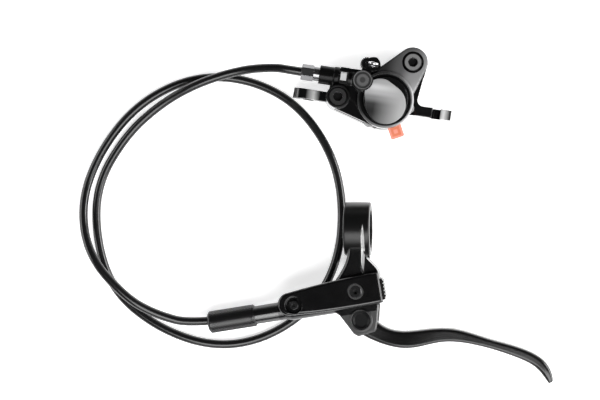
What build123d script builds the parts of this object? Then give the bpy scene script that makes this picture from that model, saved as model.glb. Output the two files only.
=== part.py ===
from build123d import *
import os
from math import cos, pi, radians, sin, tan

os.makedirs("parts", exist_ok=True)

# A bicycle's hydraulic disc brake: a lever with its master cylinder, one hose and a two-piece caliper.
# It lies as in a flat lay, with +Z up and the table at Z = 0. Sizes are in millimetres and degrees.

# Where the lever and the caliper lie on the table
lever_x = -11.5
lever_y = -8.6
lever_height = 16.3
lever_lean = 7.0
cylinder_turn = 9.5
caliper_x = -2.8
caliper_y = 64.8
caliper_turn = 8.5
lever_frame = Location((lever_x, lever_y, lever_height), (0, -lever_lean, cylinder_turn))
caliper_frame = Location((caliper_x, caliper_y, 0), (0, 0, -caliper_turn))

# Hose and its two fittings, which are alike
hose_diameter = 5.0
hose_bore = 2.4
fitting_thread = 8.0
fitting_flats = 8.0
fitting_head_length = 7.0
fitting_thread_length = 8.0
olive_length = 3.2
olive_wall = 0.75
insert_flange = 0.8
insert_spigot = 8.0
slip = 0.05

# Handlebar clamp
bar_diameter = 22.2
clamp_width = 15.0
clamp_wall = 4.4
clamp_groove_width = 2.0
clamp_groove_depth = 1.1
clamp_edge = 1.0
neck_top = 11.4
neck_edge = 2.2
clamp_groove_place = 3.6
clamp_slit = 2.0
clamp_slit_drop = 5.0
clamp_ear_reach = 21.5
clamp_ear_bottom = 13.2
clamp_bolt_size = 5.0
clamp_bolt_reach = 17.0

# Master cylinder: its axis runs along X in the lever's own frame, whose origin is in the clamp's centre
cylinder_offset = 39.5
cylinder_lift = 2.5
cylinder_outer = 12.6
cylinder_bore = 9.4
cylinder_mouth = -14.0
cylinder_end = -46.0
barrel_diameter = 10.5
barrel_end = -77.5
cylinder_wall = 2.0

# Reservoir and its lid
lid_top = 16.5
lid_thickness = 3.2
lid_edge = 1.6
diaphragm_thickness = 1.2
tub_wall = 2.0
tub_inset = 0.3
tub_depth = 8.5
tub_left = -51.1
tub_left_radius = 6.5
tub_right = 8.4
tub_far_edge = -25.4
tub_near_edge = -43.0
tub_bulge = 0.7
lid_screw_thread = 3.0
lid_screw_x = -42.0
lid_screw_y = -36.6
lid_pit_radius = 5.0
lid_pit_depth = 2.3
bleed_x = -5.9
bleed_y = -34.7
bleed_head_radius = 3.5
bleed_seat_depth = 0.9
bleed_thread = 5.0

# Pivot, bracket and lever blade
pivot_x = -6.0
pivot_y = -51.3
pivot_diameter = 6.0
pivot_head_radius = 5.3
pivot_head_depth = 2.0
pivot_rim_radius = 6.5
pivot_rim_height = 0.6
bracket_edge = 0.7
ear_thickness = 3.0
arm_gap = 10.0
arm_room = 7.2
arm_clearance = 0.15
bush_wall = 1.2
finger_height = 11.2
finger_edge = 2.2
reach_thread = 4.0
reach_length = 9.0
contact_gap = 0.15

# Caliper, whose own frame has its origin between the mounting ears on the table, the ears along X
caliper_mid = 17.5
ear_half_spacing = 37.1
ear_half_length = 46.0
ear_top = 1.6
ear_bottom_face = -4.1
ear_lift = 5.4
ear_slot_length = 8.6
ear_slot_width = 6.5
ear_place = 38.3
ear_width = 15.8
arm_top = 15.6
arm_bottom = 7.2
ear_end_radius = 5.6
ear_root_radius = 3.6
rim_height = 31.4
lobe_height = 29.5
near_height = 25.0
web_height = 27.0
bolt_sink = 5.0
dome_over_rim = 4.6
dome_x = 6.2
dome_y = 1.0
dome_radius = 11.3
dome_crown_radius = 42.0
dome_edge = 0.5
shoulder_radius = 13.2
shoulder_rise = 2.2
groove_depth = 1.8
rim_radius = 16.0
rim_width = 1.2
casting_edge = 1.2
pad_turn = 27.0
piston_diameter = 22.0
piston_length = 8.6
piston_wall = 3.2
piston_bore_depth = 9.2
piston_slip = 0.05
seal_width = 2.2
seal_depth = 1.5
rotor_radius = 81.0
rotor_reach = 10.0
rotor_slot = 5.6
pocket_half = 5.9
pocket_half_width = 15.3
plate_half_width = 14.7
plate_thickness = 1.8
friction_thickness = 2.0
friction_face = 1.6
pin_place = 21.4
pin_diameter = 3.0
pin_wire = 1.7
pin_boss_height = 27.4
pin_boss_radius = 4.2
body_bolt_size = 6.0
body_bolt_head = 10.0
near_bolt_x = -20.7
near_bolt_y = -1.0
far_bolt_x = 18.5
far_bolt_y = 24.4
nipple_x = -8.4
nipple_y = 9.8
nipple_seat = 5.9
nipple_hex = 7.0
cap_lift = 1.65
cap_radius = 5.3
cap_disc_radius = 3.5
hose_boss_y = 10.3
hose_boss_lift = 5.8
boss_radius = 5.3
hose_boss_end = -33.0
passage_x = -21.5
passage_y = 9.6
spacer_thickness = 2.4
spacer_width = 21.0
spacer_length = 18.0
spacer_tab_width = 7.8

# Values that follow from the sizes above
bar_radius = bar_diameter / 2
clamp_radius = bar_radius + clamp_wall
cylinder_y = -cylinder_offset
tub_top = lid_top - lid_thickness - diaphragm_thickness
ear_top_z = cylinder_lift + arm_gap / 2 + ear_thickness
ear_bottom_z = cylinder_lift - arm_gap / 2 - ear_thickness
pocket_floor = cylinder_lift + cylinder_bore / 2 + cylinder_wall
ear_mid = (ear_lift + caliper_mid) / 2
dome_height = rim_height + dome_over_rim

across_bar = Plane(
    origin=(0, 0, 0),
    x_dir=(sin(radians(cylinder_turn)), cos(radians(cylinder_turn)), 0),
    z_dir=(cos(radians(cylinder_turn)), -sin(radians(cylinder_turn)), 0),
)
cylinder_section = Plane(origin=(0, cylinder_y, cylinder_lift), x_dir=(1, 0, 0), z_dir=(0, -1, 0))
cylinder_axis = Axis((0, cylinder_y, cylinder_lift), (1, 0, 0))
hose_boss_z = caliper_mid + hose_boss_lift
boss_section = Plane(origin=(0, hose_boss_y, hose_boss_z), x_dir=(1, 0, 0), z_dir=(0, -1, 0))
boss_axis = Axis((0, hose_boss_y, hose_boss_z), (1, 0, 0))


# A plane across the master cylinder, its own x along Y and its own y along Z
def across_cylinder(station):
    return Plane(origin=(station, cylinder_y, cylinder_lift), x_dir=(0, 1, 0), z_dir=(1, 0, 0))


# A plane across the caliper's hose boss
def across_boss(station):
    return Plane(origin=(station, hose_boss_y, hose_boss_z), x_dir=(0, 1, 0), z_dir=(1, 0, 0))


# A plane at a height in the caliper, in the pads' own directions: x along the rotor's rim, y away from its hub
def pad_plane(height):
    along = (cos(radians(pad_turn)), sin(radians(pad_turn)), 0)
    return Plane(origin=(dome_x, dome_y, height), x_dir=along, z_dir=(0, 0, 1))


# Outlines that several pieces share
with BuildSketch() as reservoir_outline:
    left_x = tub_left + tub_left_radius
    left_far = tub_far_edge - 3.8
    left_near = left_far - 2 * tub_left_radius
    middle_x = (left_x + tub_right) / 2
    with BuildLine():
        far_side = ThreePointArc(
            (tub_right, tub_far_edge),
            (middle_x, (tub_far_edge + left_far) / 2 + tub_bulge),
            (left_x, left_far),
        )
        left_end = ThreePointArc(
            (left_x, left_far), (tub_left, (left_far + left_near) / 2), (left_x, left_near)
        )
        near_side = ThreePointArc(
            (left_x, left_near),
            (middle_x, (tub_near_edge + left_near) / 2 - tub_bulge),
            (tub_right, tub_near_edge),
        )
        right_end = Line((tub_right, tub_near_edge), (tub_right, tub_far_edge))
    make_face()

with BuildSketch() as pocket_outline:
    add(reservoir_outline.sketch)
    offset(amount=-tub_wall, kind=Kind.INTERSECTION)
    with Locations((tub_left, tub_far_edge)):
        Rectangle(2 * (lid_screw_x + 4.6 - tub_left), 60, mode=Mode.SUBTRACT)

# Directions of the handlebar: along it, and level across it towards the master cylinder
along_bar = Vector(cos(radians(cylinder_turn)), -sin(radians(cylinder_turn)), 0)
towards_cylinder = Vector(-sin(radians(cylinder_turn)), -cos(radians(cylinder_turn)), 0)
clamp_half = clamp_width / 2
bolt_spot = towards_cylinder * clamp_bolt_reach

# Clamp ring with rounded rims
with BuildPart() as clamp_ring:
    with BuildSketch(across_bar):
        Circle(clamp_radius)
    extrude(amount=clamp_half, both=True)
    fillet(clamp_ring.edges().filter_by(GeomType.CIRCLE), radius=clamp_edge)

# Neck from the ring to the reservoir, its flanks swept and its upper edges rounded
with BuildPart() as clamp_neck:
    neck_floor = -clamp_slit_drop + clamp_slit / 2
    flank_lead = 5
    with BuildSketch(Plane.XY.offset(neck_floor)):
        with BuildLine():
            left_flank = Spline(
                (-clamp_half + 0.8, -flank_lead),
                (-clamp_half - 0.7, -14.7),
                (-clamp_half - 5.1, -21.9),
                (-clamp_half - 12, -29),
            )
            flank_end = clamp_half - 0.1 - flank_lead * tan(radians(cylinder_turn))
            right_flank = Spline(
                (tub_right, -29),
                (tub_right - 0.4, -25),
                (flank_end - 14 * tan(radians(cylinder_turn)), -19),
                (flank_end, -flank_lead),
            )
            Line(left_flank @ 1, right_flank @ 0)
            Line(right_flank @ 1, left_flank @ 0)
        make_face()
    extrude(amount=neck_top - neck_floor)
    fillet(
        clamp_neck.faces().sort_by(Axis.Z)[-1].edges().filter_by(lambda e: abs(e.center().X) > 6),
        radius=neck_edge,
    )

# Pivot bracket, deep enough for the arm to work inside, with a chamfered edge and a low rim
with BuildPart() as pivot_bracket:
    with BuildSketch(Plane.XY.offset(ear_bottom_z)):
        with BuildLine():
            Polyline(
                (pivot_x - 17.8, tub_near_edge + 1.5),
                (pivot_x - 11.6, pivot_y + 4.4),
                (pivot_x - 5.4, pivot_y - 7.2),
                (pivot_x - 2.9, pivot_y - 9.0),
                (pivot_x + 7.3, pivot_y - 7.6),
                (pivot_x + 9.4, pivot_y - 1.2),
                (pivot_x + 11.3, pivot_y + 6.8),
                (tub_right - 0.3, tub_near_edge + 2.5),
                (tub_right - 0.3, tub_far_edge - 3.5),
                (pivot_x - 17.8, tub_far_edge - 4.5),
                close=True,
            )
        make_face()
        fillet([v for v in vertices() if v.Y < pivot_y - 5], radius=1.6)
    extrude(amount=ear_top_z - ear_bottom_z)
    chamfer(
        pivot_bracket.edges().filter_by(
            lambda e: e.center().Z > ear_top_z - 0.01 and e.center().Y < tub_near_edge + 2
        ),
        length=bracket_edge,
    )
    with BuildSketch(Plane.XY.offset(ear_top_z)):
        with Locations((pivot_x, pivot_y)):
            Circle(pivot_rim_radius)
    extrude(amount=pivot_rim_height)
    fillet(
        pivot_bracket.edges().filter_by(lambda e: e.center().Z > ear_top_z + pivot_rim_height - 0.01),
        radius=pivot_rim_height / 2,
    )

# Lever body: clamp ring, neck, master cylinder, reservoir tub and pivot bracket, cast in one
with BuildPart() as lever_body:
    add(clamp_ring.part)
    add(clamp_neck.part)
    with BuildSketch(across_bar):
        with Locations((-(clamp_ear_reach + bar_radius) / 2 + 1, -clamp_ear_bottom / 2 - 2.9)):
            Rectangle(clamp_ear_reach - bar_radius + 2, clamp_ear_bottom - 5.8)
    extrude(amount=clamp_half - 1.2, both=True)
    with BuildSketch(cylinder_section):
        with BuildLine():
            Polyline(
                (barrel_end, 0),
                (barrel_end, barrel_diameter / 2),
                (cylinder_end - 3.5, barrel_diameter / 2),
                (cylinder_end + 0.5, cylinder_outer / 2),
                (cylinder_mouth, cylinder_outer / 2),
                (cylinder_mouth, 0),
                close=True,
            )
        make_face()
    revolve(axis=cylinder_axis)
    with BuildSketch(Plane.XY.offset(tub_top - tub_depth)):
        add(reservoir_outline.sketch)
        offset(amount=-tub_inset, kind=Kind.INTERSECTION)
    extrude(amount=tub_depth)
    add(pivot_bracket.part)
    with BuildSketch(Plane.XY.offset(cylinder_lift - arm_gap / 2)):
        with Locations(((cylinder_mouth + 20) / 2, cylinder_y + arm_room - 20)):
            Rectangle(20 - cylinder_mouth, 40)
    extrude(amount=arm_gap, mode=Mode.SUBTRACT)
    with BuildSketch(across_bar):
        Circle(bar_radius)
    extrude(amount=clamp_width, both=True, mode=Mode.SUBTRACT)
    with BuildSketch(across_bar):
        with Locations((-clamp_ear_reach / 2 - 3.5, -clamp_slit_drop)):
            Rectangle(clamp_ear_reach, clamp_slit)
    extrude(amount=clamp_width, both=True, mode=Mode.SUBTRACT)
    groove_side = clamp_groove_width / 2
    with BuildSketch(Plane(origin=(0, 0, 0), x_dir=along_bar, z_dir=towards_cylinder)):
        with BuildLine():
            Polyline(
                (clamp_groove_place - groove_side, clamp_radius + 0.2),
                (clamp_groove_place + groove_side, clamp_radius + 0.2),
                (clamp_groove_place, clamp_radius - clamp_groove_depth),
                close=True,
            )
        make_face()
    revolve(axis=Axis((0, 0, 0), along_bar), revolution_arc=44, mode=Mode.SUBTRACT)
    with BuildSketch(Plane(origin=towards_cylinder * 9.5, x_dir=along_bar, z_dir=towards_cylinder)):
        with BuildLine():
            Polyline(
                (clamp_groove_place - groove_side, neck_top + 0.2),
                (clamp_groove_place + groove_side, neck_top + 0.2),
                (clamp_groove_place, neck_top - clamp_groove_depth),
                close=True,
            )
        make_face()
    extrude(amount=14.6, mode=Mode.SUBTRACT)
    with BuildSketch(Plane.XY.offset(-clamp_ear_bottom - 3)):
        with Locations((bolt_spot.X, bolt_spot.Y)):
            Circle(clamp_bolt_size / 2 + slip)
    extrude(amount=clamp_ear_bottom + 7, mode=Mode.SUBTRACT)
    with BuildSketch(Plane.XY.offset(-clamp_ear_bottom - 3)):
        with Locations((bolt_spot.X, bolt_spot.Y)):
            Circle(clamp_bolt_size * 0.85 + 0.3)
    extrude(amount=5.8, mode=Mode.SUBTRACT)
    with BuildSketch(cylinder_section):
        with BuildLine():
            bolt_end = barrel_end + fitting_thread_length
            olive_end = bolt_end + olive_length + insert_flange + 0.4
            Polyline(
                (barrel_end - 1, 0),
                (barrel_end - 1, fitting_thread / 2),
                (bolt_end + 0.2, fitting_thread / 2),
                (bolt_end + 0.2, hose_diameter / 2 + olive_wall + slip),
                (olive_end, hose_diameter / 2 + olive_wall + slip),
                (olive_end, 1.0),
                (cylinder_end, 1.0),
                (cylinder_end, cylinder_bore / 2),
                (cylinder_mouth + 1, cylinder_bore / 2),
                (cylinder_mouth + 1, 0),
                close=True,
            )
        make_face()
    revolve(axis=cylinder_axis, mode=Mode.SUBTRACT)
    with BuildSketch(across_cylinder(cylinder_mouth - 2.2)):
        Circle(cylinder_bore / 2 + 0.55)
    extrude(amount=1.1, mode=Mode.SUBTRACT)
    with BuildSketch(Plane.XY.offset(pocket_floor)):
        add(pocket_outline.sketch)
    extrude(amount=20, mode=Mode.SUBTRACT)
    with Locations((pivot_x, pivot_y, ear_top_z + pivot_rim_height)):
        CounterBoreHole(
            pivot_diameter / 2 + slip,
            pivot_head_radius + 0.15,
            pivot_head_depth + pivot_rim_height,
            depth=30,
        )
    with Locations((lid_screw_x, lid_screw_y, tub_top)):
        Hole(lid_screw_thread / 2 + slip, depth=7)
    for port_x in (cylinder_mouth - 10.0, cylinder_mouth - 15.4):
        with Locations((port_x, cylinder_y, pocket_floor + 1)):
            Hole(0.6, depth=cylinder_wall + 1.6)

# Reservoir lid with a rounded edge, a screw pit at one end and the bleed port at the other
with BuildPart() as reservoir_lid:
    with BuildSketch(Plane.XY.offset(lid_top - lid_thickness)):
        add(reservoir_outline.sketch)
    extrude(amount=lid_thickness)
    fillet(reservoir_lid.faces().sort_by(Axis.Z)[-1].edges(), radius=lid_edge)
    with BuildSketch(Plane.XY.offset(lid_top)):
        with Locations((lid_screw_x, lid_screw_y)):
            Circle(lid_pit_radius)
    extrude(amount=-lid_pit_depth, taper=12, mode=Mode.SUBTRACT)
    with Locations((lid_screw_x, lid_screw_y, lid_top - lid_pit_depth)):
        Hole(lid_screw_thread / 2 + slip, depth=10)
    with Locations((bleed_x, bleed_y, lid_top)):
        CounterBoreHole(bleed_thread / 2 + slip, bleed_head_radius + 1.0, bleed_seat_depth, depth=10)

with BuildPart() as reservoir_diaphragm:
    with BuildSketch(Plane.XY.offset(tub_top)):
        add(reservoir_outline.sketch)
        offset(amount=-0.6, kind=Kind.INTERSECTION)
        with Locations((lid_screw_x, lid_screw_y)):
            Circle(lid_screw_thread / 2 + 0.3, mode=Mode.SUBTRACT)
        with Locations((bleed_x, bleed_y)):
            Circle(bleed_thread / 2 + 0.4, mode=Mode.SUBTRACT)
    extrude(amount=diaphragm_thickness)
    with BuildSketch(Plane.XY.offset(tub_top)):
        add(pocket_outline.sketch)
        offset(amount=-2.4, kind=Kind.INTERSECTION)
        with Locations((bleed_x, bleed_y)):
            Rectangle(16, 40, mode=Mode.SUBTRACT)
    extrude(amount=-1.0)

# Cap screw that holds the lid, with a hexagon socket
with BuildPart() as lid_screw:
    screw_seat = lid_top - lid_pit_depth
    with Locations((lid_screw_x, lid_screw_y, screw_seat)):
        Cylinder(2.7, 1.6, align=(Align.CENTER, Align.CENTER, Align.MIN))
        Cylinder(lid_screw_thread / 2, 7.2, align=(Align.CENTER, Align.CENTER, Align.MAX))
    fillet(lid_screw.edges().sort_by(Axis.Z)[-1], radius=0.35)
    with BuildSketch(Plane.XY.offset(screw_seat + 1.6)):
        with Locations((lid_screw_x, lid_screw_y)):
            RegularPolygon(1.0, 6, major_radius=False)
    extrude(amount=-1.1, mode=Mode.SUBTRACT)

# Bleed screw and its sealing ring
with BuildPart() as bleed_screw:
    bleed_seat = lid_top - bleed_seat_depth
    with Locations((bleed_x, bleed_y, bleed_seat)):
        Cylinder(bleed_head_radius, 1.5, align=(Align.CENTER, Align.CENTER, Align.MIN))
        Cylinder(bleed_thread / 2, 3.4, align=(Align.CENTER, Align.CENTER, Align.MAX))
    chamfer(bleed_screw.edges().sort_by(Axis.Z)[-1], length=0.4)
    with BuildSketch(Plane.XY.offset(bleed_seat + 1.5)):
        with Locations((bleed_x, bleed_y)):
            RegularPolygon(1.25, 6, major_radius=False)
    extrude(amount=-2.4, mode=Mode.SUBTRACT)

with BuildPart() as bleed_screw_seal:
    with BuildSketch(Plane.XY.offset(bleed_seat)):
        with Locations((bleed_x, bleed_y)):
            Circle(bleed_head_radius + 0.85)
            Circle(bleed_head_radius + slip, mode=Mode.SUBTRACT)
    extrude(amount=0.8)

# Pinch bolt under the neck, its head let into the clamp's free end
with BuildPart() as clamp_bolt:
    head_seat = -clamp_ear_bottom + 2.8
    with BuildSketch(Plane.XY.offset(head_seat)):
        with Locations((bolt_spot.X, bolt_spot.Y)):
            Circle(clamp_bolt_size * 0.85)
            RegularPolygon(2.0, 6, major_radius=False, mode=Mode.SUBTRACT)
    extrude(amount=-4.6)
    with BuildSketch(Plane.XY.offset(head_seat - 1.6)):
        with Locations((bolt_spot.X, bolt_spot.Y)):
            Circle(clamp_bolt_size / 2)
    extrude(amount=13.6)

# Lever blade: pivot boss, arm that works the piston, and a finger rest whose section changes on the way
# to its curled tip
with BuildPart() as lever_blade:
    root_half = arm_gap / 2 - arm_clearance
    with BuildLine(mode=Mode.PRIVATE):
        back_edge = Spline(
            (pivot_x + 7.0, pivot_y + 1.5),
            (pivot_x + 13.5, pivot_y - 7.2),
            (pivot_x + 27, pivot_y - 10.9),
            (pivot_x + 44.6, pivot_y - 11.9),
            (pivot_x + 57, pivot_y - 15.8),
            (pivot_x + 81.3, pivot_y - 27.9),
            (pivot_x + 92.5, pivot_y - 33.6),
            (pivot_x + 98.3, pivot_y - 39.5),
            (pivot_x + 100.8, pivot_y - 51.0),
        )
        front_edge = Spline(
            (pivot_x - 3.0, pivot_y - 6.0),
            (pivot_x + 4.5, pivot_y - 13),
            (pivot_x + 21.1, pivot_y - 19.7),
            (pivot_x + 34.1, pivot_y - 21),
            (pivot_x + 49, pivot_y - 19.5),
            (pivot_x + 56.1, pivot_y - 21.8),
            (pivot_x + 80.2, pivot_y - 33.5),
            (pivot_x + 89.5, pivot_y - 38.7),
            (pivot_x + 93.6, pivot_y - 43.5),
            (pivot_x + 98.3, pivot_y - 51.9),
        )
    swell = finger_height - 2 * root_half
    for share, gain in ((0, 0), (0.07, 0), (0.15, 0.2), (0.27, 1), (0.42, 1), (0.6, 0.8), (0.8, 0.6),
                        (0.9, 0.5), (0.96, 0.3), (1, -0.8)):
        back_point, front_point = back_edge @ share, front_edge @ share
        across_blade = back_point - front_point
        middle = (back_point + front_point) / 2
        section = Plane(
            origin=(middle.X, middle.Y, cylinder_lift),
            x_dir=across_blade,
            z_dir=across_blade.cross(Vector(0, 0, 1)),
        )
        with BuildSketch(section):
            RectangleRounded(
                across_blade.length,
                2 * root_half + gain * swell,
                min(finger_edge, 0.42 * across_blade.length),
            )
    loft()
    fillet(lever_blade.faces().sort_by(Axis.X)[-1].edges(), radius=0.7)
    with BuildSketch(Plane.XY.offset(cylinder_lift - root_half)):
        with Locations((pivot_x, pivot_y)):
            Circle(7.2)
        with Locations((pivot_x + 5.8, cylinder_y)):
            RectangleRounded(6.8, 7.6, 1.5)
        make_hull()
    extrude(amount=2 * root_half)
    with BuildSketch(Plane.XY.offset(cylinder_lift - finger_height)):
        with Locations((pivot_x + 1.0, cylinder_y - 3.6)):
            Rectangle(14, 20, align=(Align.MAX, Align.MIN))
    extrude(amount=2 * finger_height, mode=Mode.SUBTRACT)
    with Locations((pivot_x, pivot_y, cylinder_lift + root_half)):
        Hole(pivot_diameter / 2 + bush_wall + slip, depth=20)
    with BuildSketch(across_cylinder(pivot_x - 5)):
        Circle(reach_thread / 2 + slip)
    extrude(amount=20, mode=Mode.SUBTRACT)

# Reach screw in the arm, whose round tip bears on the push rod
with BuildPart() as reach_screw:
    with BuildSketch(cylinder_section):
        tip_radius = 1.6
        with BuildLine():
            ThreePointArc(
                (pivot_x - tip_radius, 0),
                (pivot_x - tip_radius * cos(pi / 4), tip_radius * sin(pi / 4)),
                (pivot_x, tip_radius),
            )
            Polyline(
                (pivot_x, tip_radius),
                (pivot_x + 0.8, reach_thread / 2),
                (pivot_x + reach_length, reach_thread / 2),
                (pivot_x + reach_length, 0),
                (pivot_x - tip_radius, 0),
            )
        make_face()
    revolve(axis=cylinder_axis)
    with BuildSketch(across_cylinder(pivot_x + reach_length)):
        RegularPolygon(1.0, 6, major_radius=False)
    extrude(amount=-2.5, mode=Mode.SUBTRACT)

# Pivot axle with a dished head, two flanged bushes and the clip under the lower ear
with BuildPart() as pivot_axle:
    axle_length = ear_top_z - ear_bottom_z + 1.6
    with Locations((pivot_x, pivot_y, ear_top_z - pivot_head_depth)):
        Cylinder(pivot_head_radius, pivot_head_depth, align=(Align.CENTER, Align.CENTER, Align.MIN))
        Cylinder(
            pivot_diameter / 2,
            axle_length - pivot_head_depth,
            align=(Align.CENTER, Align.CENTER, Align.MAX),
        )
    with BuildSketch(Plane.XY.offset(ear_top_z)):
        with Locations((pivot_x, pivot_y)):
            Circle(pivot_head_radius - 0.7)
    extrude(amount=-1.1, taper=35, mode=Mode.SUBTRACT)
    with BuildSketch(Plane.XY.offset(ear_bottom_z - 0.9)):
        with Locations((pivot_x, pivot_y)):
            Circle(pivot_diameter)
            Circle(pivot_diameter / 2 - 0.6, mode=Mode.SUBTRACT)
    extrude(amount=0.8, mode=Mode.SUBTRACT)

with BuildPart() as pivot_clip:
    with BuildSketch(Plane.XY.offset(ear_bottom_z - 0.85)):
        with Locations((pivot_x, pivot_y)):
            Circle(5.2)
            Circle(pivot_diameter / 2 - 0.5, mode=Mode.SUBTRACT)
        with Locations((pivot_x, pivot_y - 5)):
            Rectangle(3.6, 10, mode=Mode.SUBTRACT)
    extrude(amount=0.7)

with BuildPart() as pivot_bushes:
    for side in (-1, 1):
        with BuildSketch(Plane.XY.offset(cylinder_lift + side * root_half)):
            with Locations((pivot_x, pivot_y)):
                Circle(pivot_diameter / 2 + bush_wall)
                Circle(pivot_diameter / 2 + slip, mode=Mode.SUBTRACT)
        extrude(amount=-side * (root_half - 0.2))

# Ribbed rubber cover that closes the bracket's open end beside the arm
with BuildPart() as slot_dust_cover:
    cover_near = tub_near_edge + 1.6
    cover_far = cylinder_y + arm_room
    with BuildSketch(Plane.XY.offset(cylinder_lift - arm_gap / 2 + 0.1)):
        with Locations((tub_right - 0.2, (cover_near + cover_far) / 2)):
            Rectangle(2.6, cover_far - cover_near - 0.2, align=(Align.MAX, Align.CENTER))
    extrude(amount=arm_gap - 0.2)
    with BuildSketch(Plane.XY.offset(ear_bottom_z + 0.4)):
        with Locations((tub_right - 0.3, (cover_near + cover_far) / 2 + 1.0)):
            Rectangle(1.5, cover_far - cover_near + 3, align=(Align.MIN, Align.CENTER))
    extrude(amount=ear_top_z - ear_bottom_z - 1.0)
    rib_count = 5
    rib_pitch = (cover_far - cover_near + 1) / rib_count
    for rib in range(rib_count):
        with BuildSketch(Plane.XY.offset(ear_bottom_z + 1.2)):
            with Locations((tub_right + 1.1, cover_near + 0.6 + (rib + 0.5) * rib_pitch)):
                Circle(rib_pitch * 0.36)
        extrude(amount=ear_top_z - ear_bottom_z - 2.6)

# Piston train: rod, piston, cups and return spring
piston_face = cylinder_mouth - 3.4
piston_length_in_lever = 14.0
with BuildPart() as push_rod:
    rod_head = pivot_x - tip_radius - contact_gap
    with BuildSketch(cylinder_section):
        with BuildLine():
            Polyline(
                (rod_head, 0),
                (rod_head, 3.0),
                (rod_head - 1.5, 3.0),
                (rod_head - 1.5, 1.8),
                (piston_face - 2.0, 1.8),
                (piston_face - 3.0, 0.8),
                (piston_face - 3.0, 0),
                close=True,
            )
        make_face()
    revolve(axis=cylinder_axis)

with BuildPart() as master_piston:
    with BuildSketch(cylinder_section):
        with BuildLine():
            nose = piston_face - piston_length_in_lever
            bore_r = cylinder_bore / 2 - slip
            Polyline(
                (nose, 0),
                (nose, 1.9),
                (nose + 1.6, 1.9),
                (nose + 1.6, 3.2),
                (nose + 3.8, 3.2),
                (nose + 3.8, bore_r),
                (nose + 5.2, bore_r),
                (nose + 5.2, 3.0),
                (piston_face - 4.4, 3.0),
                (piston_face - 4.4, bore_r),
                (piston_face - 3.6, bore_r),
                (piston_face - 3.6, 3.2),
                (piston_face - 1.6, 3.2),
                (piston_face - 1.6, bore_r),
                (piston_face, bore_r),
                (piston_face, 2.1),
                (piston_face - 2.2, 2.1),
                (piston_face - 3.2, 1.1),
                (piston_face - 3.2, 0),
                close=True,
            )
        make_face()
    revolve(axis=cylinder_axis)

with BuildPart() as primary_cup:
    with BuildSketch(across_cylinder(nose + 1.7)):
        Circle(bore_r)
        Circle(3.2, mode=Mode.SUBTRACT)
    extrude(amount=2.0)

with BuildPart() as secondary_seal:
    with BuildSketch(across_cylinder(piston_face - 3.5)):
        Circle(bore_r)
        Circle(3.2, mode=Mode.SUBTRACT)
    extrude(amount=1.8)

with BuildPart() as piston_spring:
    spring_wire = 0.8
    spring_length = nose + 1.6 - cylinder_end - spring_wire
    with BuildLine():
        coil = Helix(
            pitch=spring_length / 5,
            height=spring_length,
            radius=3.0,
            center=(cylinder_end + spring_wire / 2, cylinder_y, cylinder_lift),
            direction=(1, 0, 0),
        )
    with BuildSketch(Plane(origin=coil @ 0, z_dir=coil % 0)):
        Circle(spring_wire / 2)
    sweep(path=coil, is_frenet=True)

with BuildPart() as piston_snap_ring:
    with BuildSketch(across_cylinder(cylinder_mouth - 2.1)):
        Circle(cylinder_bore / 2 + 0.5)
        Circle(3.4, mode=Mode.SUBTRACT)
        with Locations((0, -4)):
            Rectangle(2.4, 5, mode=Mode.SUBTRACT)
    extrude(amount=0.9)

# Knurled rubber boot over the barrel and the hose
with BuildPart() as hose_boot:
    boot_left = -94.5
    boot_right = -66.6
    boot_radius = 6.4
    with BuildSketch(cylinder_section):
        with BuildLine():
            Polyline(
                (boot_left, hose_diameter / 2 + 0.1),
                (boot_left, boot_radius - 1.2),
                (boot_left + 1.2, boot_radius),
                (boot_right - 0.8, boot_radius),
                (boot_right, boot_radius - 0.8),
                (boot_right, barrel_diameter / 2 + slip),
                (barrel_end - fitting_head_length - 0.6, barrel_diameter / 2 + slip),
                (barrel_end - fitting_head_length - 2.6, hose_diameter / 2 + 0.1),
                close=True,
            )
        make_face()
    revolve(axis=cylinder_axis)


# Connecting bolt, olive and insert of a hose end, built along X from the face that the bolt's head meets
def connecting_bolt(across, face_station):
    with BuildPart() as bolt:
        with BuildSketch(across(face_station - fitting_head_length - 0.1)):
            RegularPolygon(fitting_flats / 2, 6, major_radius=False)
        extrude(amount=fitting_head_length)
        with BuildSketch(across(face_station - 0.2)):
            Circle(fitting_thread / 2 - slip)
        extrude(amount=fitting_thread_length)
        with BuildSketch(across(face_station - fitting_head_length - 1)):
            Circle(hose_diameter / 2 + slip)
        extrude(amount=30, mode=Mode.SUBTRACT)
    return bolt


def olive(across, face_station):
    with BuildPart() as ring:
        with BuildSketch(across(face_station + fitting_thread_length)):
            Circle(hose_diameter / 2 + olive_wall)
            Circle(hose_diameter / 2 + slip, mode=Mode.SUBTRACT)
        extrude(amount=olive_length)
        chamfer(ring.edges().group_by(Axis.X)[-1].sort_by(SortBy.RADIUS)[-1], length=0.4)
    return ring


def hose_insert(across, face_station):
    hose_end = face_station + fitting_thread_length + olive_length
    with BuildPart() as insert:
        with BuildSketch(across(hose_end)):
            Circle(hose_diameter / 2)
            Circle(0.7, mode=Mode.SUBTRACT)
        extrude(amount=insert_flange)
        with BuildSketch(across(hose_end)):
            Circle(hose_bore / 2 - slip)
            Circle(0.7, mode=Mode.SUBTRACT)
        extrude(amount=-insert_spigot)
    return insert


lever_connecting_bolt = connecting_bolt(across_cylinder, barrel_end)
lever_olive = olive(across_cylinder, barrel_end)
lever_hose_insert = hose_insert(across_cylinder, barrel_end)
caliper_connecting_bolt = connecting_bolt(across_boss, hose_boss_end - 3.2)
caliper_olive = olive(across_boss, hose_boss_end - 3.2)
caliper_hose_insert = hose_insert(across_boss, hose_boss_end - 3.2)

# Footprints of the caliper's two halves, seen from above
with BuildSketch() as near_web:
    with Locations((dome_x, dome_y)):
        Circle(rim_radius)
    with Locations((near_bolt_x, near_bolt_y)):
        Circle(6.6)
    make_hull()

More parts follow.
